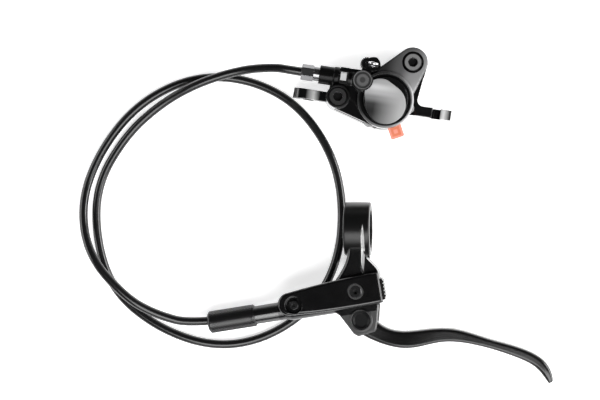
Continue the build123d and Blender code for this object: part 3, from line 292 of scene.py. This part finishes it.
def grooveZones(tree):
    x, y, z = placeIn(tree, leverSpace)
    c, s = cos(radians(cylinderTurn)), sin(radians(cylinderTurn))
    along = addMath(tree, "SUBTRACT", addMath(tree, "MULTIPLY", x, c), addMath(tree, "MULTIPLY", y, s))
    across = addMath(tree, "ADD", addMath(tree, "MULTIPLY", x, s), addMath(tree, "MULTIPLY", y, c))
    low, high = grooveLook["reach"]
    share = addMath(tree, "DIVIDE", addMath(tree, "SUBTRACT", across, (low + high) / 2), (high - low) / 2)
    width = addMath(tree, "SUBTRACT", 1.0, addMath(tree, "POWER", share, 2.0), clamp=True)
    width = addMath(tree, "MULTIPLY", width, grooveLook["halfWidth"])
    side = addMath(tree, "ABSOLUTE", addMath(tree, "SUBTRACT", along, grooveLook["along"]))
    mask = addRamp(tree, addMath(tree, "SUBTRACT", width, side), 0.0, 0.25)
    mask = addMath(tree, "MULTIPLY", mask, addRamp(tree, side, *grooveLook["sideLimit"]))
    away = addAway(tree, across, z)
    mask = addMath(tree, "MULTIPLY", mask, addRamp(tree, away, *grooveLook["outside"]))
    mask = addMath(tree, "MULTIPLY", mask, addRamp(tree, z, *grooveLook["lift"]))
    barrel, ring, ear = grooveLook["barrel"], grooveLook["ring"], grooveLook["ear"]
    barrelMask = addRamp(tree, x, barrel["end"] + 0.5, barrel["end"])
    ringMask = addRamp(tree, across, *ring["start"])
    earMask = addMath(tree, "MULTIPLY", addRamp(tree, x, ear["start"], ear["start"] + 0.5),
                      addRamp(tree, y, ear["edge"], ear["edge"] - 0.5))
    # The last zone is the painted highlight in the groove
    return [(earMask, ear["grey"], ear["roughness"], 0.5),
            (barrelMask, barrel["grey"], barrel["roughness"], barrel["specular"]),
            (ringMask, ring["grey"], ring["roughness"], ring["specular"]),
            (mask, grooveLook["grey"], grooveLook["roughness"], 0.5)]


# Lays a zone's value over another by its mask
def layOver(tree, mask, under, over):
    mix = tree.nodes.new("ShaderNodeMix")
    mix.data_type = "RGBA"
    tree.links.new(mask, mix.inputs[0])
    for socket, value in ((mix.inputs[6], under), (mix.inputs[7], over)):
        if isinstance(value, (int, float)):
            socket.default_value = (value, value, value, 1)
        elif isinstance(value, tuple):
            socket.default_value = (*value, 1)
        else:
            tree.links.new(value, socket)
    return mix.outputs[2]


# Spacer's tab with its raised ring and the deeper colour of its end; X and Y from the ring's centre
tabLook = dict(ring=(10.1, 47.5), turn=17.0, outer=2.7, inner=1.1, ringColour=(0.60, 0.17, 0.085),
               end=-4.6, endColour=(0.42, 0.19, 0.10))


def tabZones(tree):
    tabSpace = (Matrix.Translation((tabLook["ring"][0] * mm, tabLook["ring"][1] * mm, 0))
                @ Matrix.Rotation(radians(tabLook["turn"]), 4, "Z"))
    x, y, z = placeIn(tree, tabSpace)
    wide = addMath(tree, "MULTIPLY", addBand(tree, x, -tabLook["outer"], tabLook["outer"], 0.3),
                   addBand(tree, y, -tabLook["outer"], tabLook["outer"], 0.3))
    hole = addMath(tree, "MULTIPLY", addBand(tree, x, -tabLook["inner"], tabLook["inner"], 0.3),
                   addBand(tree, y, -tabLook["inner"], tabLook["inner"], 0.3))
    ring = addMath(tree, "SUBTRACT", wide, hole, clamp=True)
    end = addRamp(tree, y, tabLook["end"] + 0.2, tabLook["end"] - 0.4)
    return [(ring, tabLook["ringColour"], 0.4, 0.5), (end, tabLook["endColour"], 0.4, 0.5)]


def placeGroup(tree, group, **values):
    node = tree.nodes.new("ShaderNodeGroup")
    node.node_tree = group
    for label, value in values.items():
        node.inputs[label].default_value = value
    return node


# One finish: a Principled shader with mottled colour, grain and rounded edges
def makeFinish(name, look):
    material = bpy.data.materials.new(name)
    material.use_nodes = True
    tree = material.node_tree
    shader = tree.nodes["Principled BSDF"]
    tone = placeGroup(tree, toneGroup, Scale=look.get("toneScale", 120.0), Dust=look.get("dust", 0.0))
    mix = tree.nodes.new("ShaderNodeMix")
    mix.data_type = "RGBA"
    mix.inputs[6].default_value = (*look["dark"], 1)
    mix.inputs[7].default_value = (*look["light"], 1)
    tree.links.new(tone.outputs["Tone"], mix.inputs[0])
    dust = tree.nodes.new("ShaderNodeMix")
    dust.data_type = "RGBA"
    dust.inputs[7].default_value = (*dustLook["colour"], 1)
    tree.links.new(tone.outputs["Dust"], dust.inputs[0])
    tree.links.new(mix.outputs[2], dust.inputs[6])
    grain = placeGroup(tree, grainGroup, Scale=look.get("grainScale", 1800.0),
                       Roughness=look["roughness"], Drift=look.get("drift", 0.05))
    colour, roughness = dust.outputs[2], grain.outputs["Roughness"]
    specular = look.get("specular", 0.5)
    shader.inputs["Specular IOR Level"].default_value = specular
    for mask, zoneColour, zoneRoughness, zoneSpecular in (look["zones"](tree) if "zones" in look else []):
        colour = layOver(tree, mask, colour, zoneColour)
        roughness = layOver(tree, mask, roughness, zoneRoughness)
        if zoneSpecular != 0.5:
            specular = layOver(tree, mask, specular, zoneSpecular)
            tree.links.new(specular, shader.inputs["Specular IOR Level"])
    tree.links.new(colour, shader.inputs["Base Color"])
    tree.links.new(roughness, shader.inputs["Roughness"])
    bump = tree.nodes.new("ShaderNodeBump")
    bump.inputs["Strength"].default_value = look.get("bump", 0.1)
    bump.inputs["Distance"].default_value = look.get("bumpDepth", 0.0001)
    tree.links.new(grain.outputs["Height"], bump.inputs["Height"])
    if look.get("edge", 0) > 0:
        edge = tree.nodes.new("ShaderNodeBevel")
        edge.samples = 6
        edge.inputs["Radius"].default_value = look["edge"]
        tree.links.new(edge.outputs["Normal"], bump.inputs["Normal"])
    tree.links.new(bump.outputs["Normal"], shader.inputs["Normal"])
    shader.inputs["Metallic"].default_value = look.get("metallic", 0.0)
    if "subsurface" in look:
        shader.inputs["Subsurface Weight"].default_value = look["subsurface"]
        shader.inputs["Subsurface Radius"].default_value = look["subsurfaceRadius"]
    return material


castBlack = dict(dark=(0.0022, 0.0022, 0.0024), light=(0.0036, 0.0036, 0.0038), roughness=0.18,
                 bump=0.12, grainScale=2600.0, edge=0.0006, dust=0.04)
finishes = {
    "castBlack": castBlack,
    "castDome": dict(castBlack, zones=domeZones),
    "castGroove": dict(castBlack, zones=grooveZones),
    "castEarHighlights": dict(castBlack, zones=earHighlightZones),
    "boltBlack": dict(castBlack, roughness=0.25, edge=0.0003, zones=boltHighlightZones),
    "capRubber": dict(dark=(0.010, 0.010, 0.010), light=(0.016, 0.016, 0.016), roughness=0.45, bump=0.15,
                      zones=capZones),
    "lidBlack": dict(dark=(0.0020, 0.0020, 0.0022), light=(0.0030, 0.0030, 0.0032), roughness=0.15,
                     bump=0.05, edge=0.0004),
    "bladeBlack": dict(dark=(0.0025, 0.0024, 0.0025), light=(0.0040, 0.0038, 0.0040), roughness=0.20,
                       bump=0.1, grainScale=2600.0, edge=0.0008),
    "screwBlack": dict(dark=(0.006, 0.006, 0.0065), light=(0.010, 0.010, 0.0105), roughness=0.22,
                       metallic=0.3, bump=0.08, edge=0.0002),
    "steel": dict(dark=(0.42, 0.42, 0.43), light=(0.58, 0.58, 0.59), roughness=0.22, metallic=1.0,
                  bump=0.1, grainScale=1500.0, edge=0.0002),
    "darkSteel": dict(dark=(0.15, 0.15, 0.155), light=(0.22, 0.22, 0.225), roughness=0.15, metallic=0.9,
                      bump=0.1, edge=0.00025),
    "bootRubber": dict(dark=(0.004, 0.004, 0.0042), light=(0.007, 0.007, 0.0073), roughness=0.22,
                       bump=0.15, dust=0.06),
    "hoseBlack": dict(dark=(0.0045, 0.0045, 0.0048), light=(0.0065, 0.0065, 0.0068), roughness=0.22,
                      bump=0.04, toneScale=60.0),
    "sealRubber": dict(dark=(0.013, 0.013, 0.013), light=(0.020, 0.020, 0.020), roughness=0.5, bump=0.2),
    "brass": dict(dark=(0.55, 0.36, 0.14), light=(0.68, 0.47, 0.20), roughness=0.3, metallic=1.0),
    "padSteel": dict(dark=(0.30, 0.30, 0.30), light=(0.40, 0.40, 0.40), roughness=0.4, metallic=1.0,
                     bump=0.2, edge=0.0002),
    "friction": dict(dark=(0.05, 0.045, 0.04), light=(0.13, 0.115, 0.10), roughness=0.8, bump=0.6,
                     bumpDepth=0.0004, grainScale=900.0, toneScale=900.0),
    "pistonCeramic": dict(dark=(0.60, 0.58, 0.52), light=(0.70, 0.68, 0.63), roughness=0.35, bump=0.1),
    "spacerPlastic": dict(dark=(0.68, 0.25, 0.18), light=(0.76, 0.31, 0.24), roughness=0.35, bump=0.1,
                          edge=0.0003, zones=tabZones, subsurface=0.4,
                          subsurfaceRadius=(0.004, 0.0016, 0.001)),
    "bushPlastic": dict(dark=(0.14, 0.14, 0.14), light=(0.20, 0.20, 0.20), roughness=0.45),
}
made = {name: makeFinish(name, look) for name, look in finishes.items()}

nodeFinish = {
    "castGroove": ["lever_body"],
    "castDome": ["caliper_outer_half"],
    "castEarHighlights": ["caliper_inner_half"],
    "boltBlack": ["body_bolts"],
    "capRubber": ["nipple_cap"],
    "lidBlack": ["reservoir_lid"],
    "bladeBlack": ["lever_blade"],
    "screwBlack": ["lid_screw", "bleed_screw", "clamp_bolt", "reach_screw", "pivot_axle"],
    "steel": ["pivot_clip", "push_rod", "piston_spring", "piston_snap_ring", "lever_hose_insert",
              "caliper_hose_insert", "pad_spring", "pad_pin"],
    "darkSteel": ["lever_connecting_bolt", "caliper_connecting_bolt", "bleed_nipple"],
    "bootRubber": ["hose_boot", "slot_dust_cover"],
    "hoseBlack": ["brake_hose"],
    "sealRubber": ["reservoir_diaphragm", "bleed_screw_seal", "primary_cup", "secondary_seal",
                   "outer_piston_seal", "inner_piston_seal", "passage_o_ring"],
    "brass": ["lever_olive", "caliper_olive"],
    "padSteel": ["outer_pad_plate", "inner_pad_plate"],
    "friction": ["outer_pad_friction", "inner_pad_friction"],
    "pistonCeramic": ["outer_piston", "inner_piston"],
    "spacerPlastic": ["pad_spacer"],
    "bushPlastic": ["pivot_bushes", "master_piston"],
}


def paint(piece, finish):
    piece.data.materials.clear()
    piece.data.materials.append(made[finish])


for finish, names in nodeFinish.items():
    for name in names:
        paint(nodes[name], finish)
print("finishes on", sum(len(names) for names in nodeFinish.values()), "CAD nodes")


# The hose, one smooth line from the master cylinder round to the caliper
hose = dict(diameter=5.0 * mm, length=0.80)
cylinderY, cylinderZ = -39.5, 2.5
hoseRoute = [leverSpace @ (Vector((-66.3, cylinderY, cylinderZ)) * mm),
             leverSpace @ (Vector((-103.5, cylinderY, cylinderZ)) * mm)]
hoseRoute += [Vector(point) * mm for point in (
    (-128.9, -58.4, 9.5), (-146.4, -48.1, 12.8), (-167.8, -23.6, 12.6), (-173.2, 7.1, 3.6),
    (-162.1, 37.1, 2.5), (-140.3, 64.3, 2.5), (-109.4, 80.1, 2.5), (-77.7, 79.9, 2.5),
    (-48.1, 66.1, 2.5), (-27.3, 38.5, 2.5), (-19.5, 8.7, 2.5), (-21.9, -26.5, 2.5),
    (-36.9, -54.4, 2.5), (-65.0, -73.4, 2.5), (-95.5, -78.2, 2.5), (-127.7, -67.3, 2.5),
    (-154.3, -45.7, 2.5), (-164.4, -15.6, 2.5), (-164.1, 16.9, 2.5), (-147.1, 45.9, 2.5),
    (-126.5, 64.1, 5.5), (-104.4, 75.7, 12.8), (-78.9, 83.3, 15.5), (-59.4, 84.1, 21.5))]
hoseRoute += [caliperSpace @ (Vector((-49.5, 10.3, 23.3)) * mm),
              caliperSpace @ (Vector((-25.0, 10.3, 23.3)) * mm)]

hoseCurve = bpy.data.curves.new("brakeHose", "CURVE")
hoseCurve.dimensions = "3D"
hoseCurve.resolution_u = 24
hoseCurve.bevel_depth = hose["diameter"] / 2
hoseCurve.bevel_resolution = 8
hoseCurve.use_fill_caps = True
spline = hoseCurve.splines.new("NURBS")
spline.points.add(len(hoseRoute) - 1)
for point, place in zip(spline.points, hoseRoute):
    point.co = (*place, 1)
spline.order_u = 3
spline.use_endpoint_u = True
brakeHose = bpy.data.objects.new("brakeHose", hoseCurve)
scene.collection.objects.link(brakeHose)
brakeHose.data.materials.append(made["hoseBlack"])
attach(brakeHose, "brake_body")
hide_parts("brake_hose")
print("hose laid")


# A mesh object in the room frame that goes with the brake's body
def addMesh(name, points, faces, finish, smooth=True):
    mesh = bpy.data.meshes.new(name)
    mesh.from_pydata([tuple(point) for point in points], [], faces)
    mesh.update()
    for face in mesh.polygons:
        face.use_smooth = smooth
    piece = bpy.data.objects.new(name, mesh)
    scene.collection.objects.link(piece)
    mesh.materials.append(made[finish])
    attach(piece, "brake_body")
    return piece


# Points of a ring turned round the X axis: stations and radii, with an optional depth cut in at each point
def turnedPoints(stations, sides, knurl=None):
    points = []
    for row, (station, radius) in enumerate(stations):
        for side in range(sides):
            angle = 2 * pi * side / sides
            depth = knurl(row, side) if knurl else 0.0
            points.append((station, (radius - depth) * cos(angle), (radius - depth) * sin(angle)))
    return points


def ringFaces(rows, sides):
    faces = []
    for row in range(rows):
        after = (row + 1) % rows
        for side in range(sides):
            beside = (side + 1) % sides
            faces.append((row * sides + side, row * sides + beside,
                          after * sides + beside, after * sides + side))
    return faces


# Rubber boot of the hose at the master cylinder, knurled in small diamonds between two plain collars
boot = dict(left=-94.5, right=-66.6, radius=6.4, hoseRadius=2.6, barrelRadius=5.35, chamfer=1.0,
            pitch=0.45, depth=0.28, sides=96, plain=1.6, lip=0.7, barrelStop=11.0, hoseStop=9.0)
rows = round((boot["right"] - boot["left"] - 2 * boot["plain"]) / boot["pitch"])
bootStations = [(boot["left"], boot["hoseRadius"]), (boot["left"], boot["radius"] - boot["chamfer"] - 0.2),
                (boot["left"] + boot["chamfer"], boot["radius"])]
knurlStart = len(bootStations)
bootStations += [(boot["left"] + boot["plain"] + row * boot["pitch"], boot["radius"])
                 for row in range(rows + 1)]
knurlEnd = len(bootStations)
bootStations += [(boot["right"] - boot["lip"], boot["radius"]),
                 (boot["right"], boot["radius"] - boot["lip"]),
                 (boot["right"], boot["barrelRadius"]),
                 (boot["left"] + boot["barrelStop"], boot["barrelRadius"]),
                 (boot["left"] + boot["hoseStop"], boot["hoseRadius"])]


def bootKnurl(row, side):
    if not knurlStart < row < knurlEnd - 1:
        return 0.0
    return boot["depth"] * ((row + side) % 4 == 0 or (row - side) % 4 == 0)


bootPoints = [leverSpace @ (Vector((x, y + cylinderY, z + cylinderZ)) * mm)
              for x, y, z in turnedPoints(bootStations, boot["sides"], bootKnurl)]
knurledBoot = addMesh("knurledBoot", bootPoints, ringFaces(len(bootStations), boot["sides"]), "bootRubber")
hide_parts("hose_boot")

# Ribbed collar that keeps the pad pin's wire, beside its boss
collar = dict(centre=(-6.9, 20.1), radius=3.9, rib=0.45, ribs=18, low=18.6, high=27.0,
              chamfer=0.5, bore=1.2)
collarRows = [(collar["low"], 0.0), (collar["high"] - collar["chamfer"], 0.0),
              (collar["high"], collar["chamfer"]), (collar["high"], None), (collar["low"], None)]
collarSides = collar["ribs"] * 4
centreX, centreY = collar["centre"]
collarPoints = []
for height, chamfer in collarRows:
    for side in range(collarSides):
        angle = 2 * pi * side / collarSides
        if chamfer is None:
            radius = collar["bore"]
        else:
            radius = collar["radius"] - chamfer - collar["rib"] * (side % 4 < 2)
        point = (centreX + radius * cos(angle), centreY + radius * sin(angle), height)
        collarPoints.append(caliperSpace @ (Vector(point) * mm))
addMesh("pinCollar", collarPoints, ringFaces(len(collarRows), collarSides), "castBlack",
        smooth=False)
print("boot and collar made")

# Floor, light and camera
studio = dict(floor=(0.9, 0.9, 0.905), floorRoughness=0.9, floorSpecular=0.1, glow=0.6, floorSize=6.0,
              cameraPlace=(-0.0449, 0.0081, 0.8), lens=81.6, sensor=36.0,
              lowGrey=0.7, highGrey=0.02, highFrom=0.4)
floorMesh = bpy.data.meshes.new("studioFloor")
reach = studio["floorSize"] / 2
floorMesh.from_pydata([(-reach, -reach, 0), (reach, -reach, 0), (reach, reach, 0), (-reach, reach, 0)],
                      [], [(0, 1, 2, 3)])
studioFloor = bpy.data.objects.new("studioFloor", floorMesh)
scene.collection.objects.link(studioFloor)
floorPaint = bpy.data.materials.new("whitePaper")
floorPaint.use_nodes = True
floorShader = floorPaint.node_tree.nodes["Principled BSDF"]
floorShader.inputs["Base Color"].default_value = (*studio["floor"], 1)
floorShader.inputs["Roughness"].default_value = studio["floorRoughness"]
floorShader.inputs["Specular IOR Level"].default_value = studio["floorSpecular"]
floorShader.inputs["Emission Color"].default_value = (1, 1, 1, 1)
floorShader.inputs["Emission Strength"].default_value = studio["glow"]
floorMesh.materials.append(floorPaint)


# A softbox of even brightness; its power follows from its size, so that a change of size keeps the look
def addSoftbox(name, place, aim, size, brightness):
    data = bpy.data.lights.new(name, "AREA")
    data.shape = "RECTANGLE"
    data.size, data.size_y = size
    data.energy = brightness * pi * size[0] * size[1]
    lamp = bpy.data.objects.new(name, data)
    scene.collection.objects.link(lamp)
    lamp.location = place
    lamp.rotation_euler = (Vector(aim) - Vector(place)).to_track_quat("-Z", "Y").to_euler()
    lamp.visible_camera = False
    return lamp


softboxes = {
    "frontHigh": dict(place=(0.2, -0.62, 1.40), aim=(0, 0, 0), size=(1.5, 0.72), brightness=6.5),
    "frontLow": dict(place=(0.2, -1.14, 1.03), aim=(0, 0, 0), size=(1.5, 0.58), brightness=3.5),
    "rightBox": dict(place=(1.1, 0.05, 0.40), aim=(0, 0, 0), size=(1.2, 0.45), brightness=12.0),
    "leftBox": dict(place=(-1.1, 0.15, 0.40), aim=(0, 0, 0), size=(1.0, 0.4), brightness=5.0),
}
for name, box in softboxes.items():
    addSoftbox(name, **box)

world = bpy.data.worlds.new("studioRoom")
scene.world = world
world.use_nodes = True
worldTree = world.node_tree
background = worldTree.nodes["Background"]
direction = worldTree.nodes.new("ShaderNodeTexCoord")
split = worldTree.nodes.new("ShaderNodeSeparateXYZ")
ramp = worldTree.nodes.new("ShaderNodeValToRGB")
worldTree.links.new(direction.outputs["Generated"], split.inputs[0])
worldTree.links.new(split.outputs["Z"], ramp.inputs[0])
worldTree.links.new(ramp.outputs["Color"], background.inputs["Color"])
for stop, place, grey in zip(ramp.color_ramp.elements, (0.0, studio["highFrom"]),
                             (studio["lowGrey"], studio["highGrey"])):
    stop.position = place
    stop.color = (grey, grey, grey, 1)
background.inputs["Strength"].default_value = 1.0

camera = bpy.data.objects.new("photoCamera", bpy.data.cameras.new("photoCamera"))
scene.collection.objects.link(camera)
camera.location = studio["cameraPlace"]
camera.data.lens = studio["lens"]
camera.data.sensor_width = studio["sensor"]
camera.data.clip_start = 0.01
scene.camera = camera
scene.view_settings.view_transform = "Standard"
print("studio ready")
